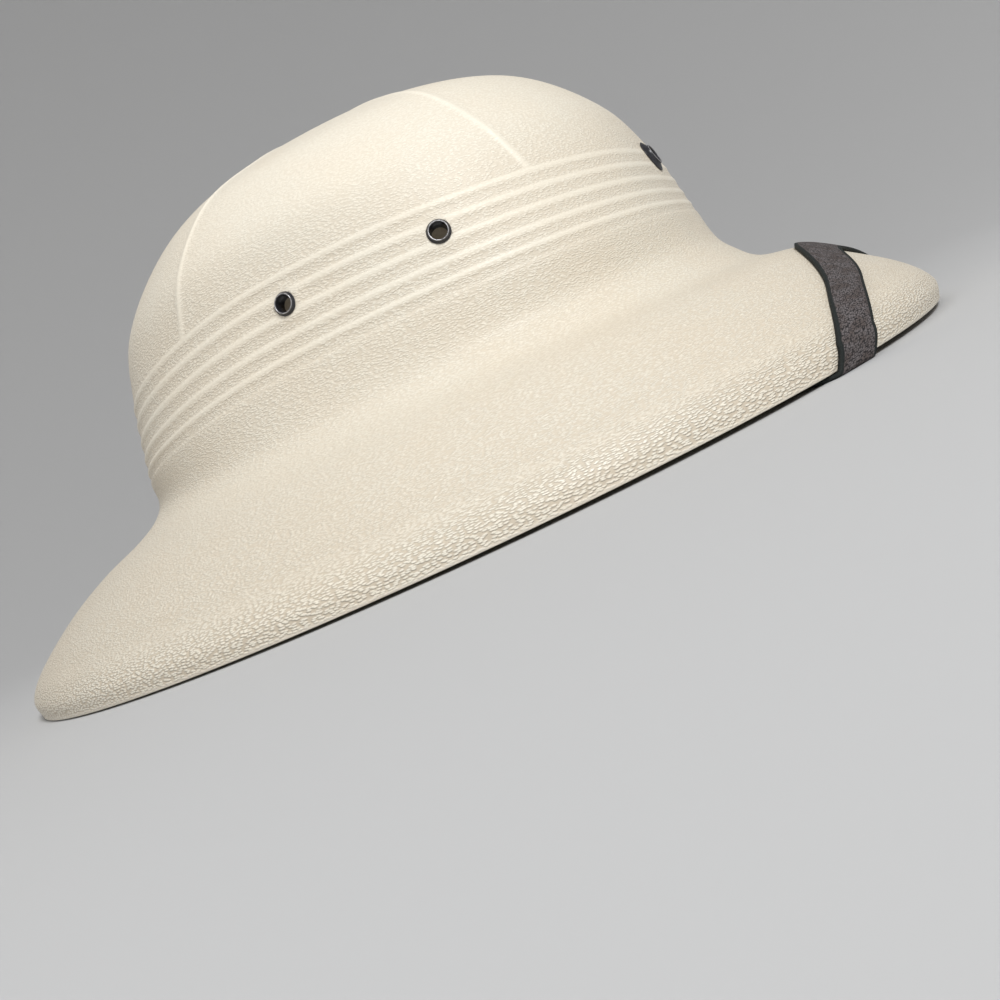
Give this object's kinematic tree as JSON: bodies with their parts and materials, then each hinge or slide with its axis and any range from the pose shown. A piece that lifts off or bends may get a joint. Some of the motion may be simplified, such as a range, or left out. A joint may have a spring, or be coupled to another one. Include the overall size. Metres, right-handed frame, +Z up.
{
  "type": "pith helmet",
  "caption": "Moulded sun helmet with a round ridged crown, a sloping brim, small pressed eyelets and an elastic chin strap worn over the front of the brim.",
  "frame": {"origin": "under the middle of the helmet, on the surface that its rim stands on", "axes": "+Z is up out of the crown, -Y is forward over the brow, +Y is backward, -X is the wearer's right side"},
  "size_m": [0.313, 0.3352, 0.1394],
  "materials": {
    "shell": "cream moulded sheet with a fine leather grain",
    "enamel": "glossy black enamel",
    "webbing": "knitted elastic in mottled charcoal"
  },
  "bodies": {
    "root": {"helmet_shell": "shell", "chin_strap": "webbing", "front_eyelet": "enamel", "side_eyelet_fore_right": "enamel", "side_eyelet_rear_right": "enamel", "side_eyelet_fore_left": "enamel", "side_eyelet_rear_left": "enamel", "strap_stud_right": "enamel", "strap_stud_left": "enamel"}
  },
  "joints": []
}
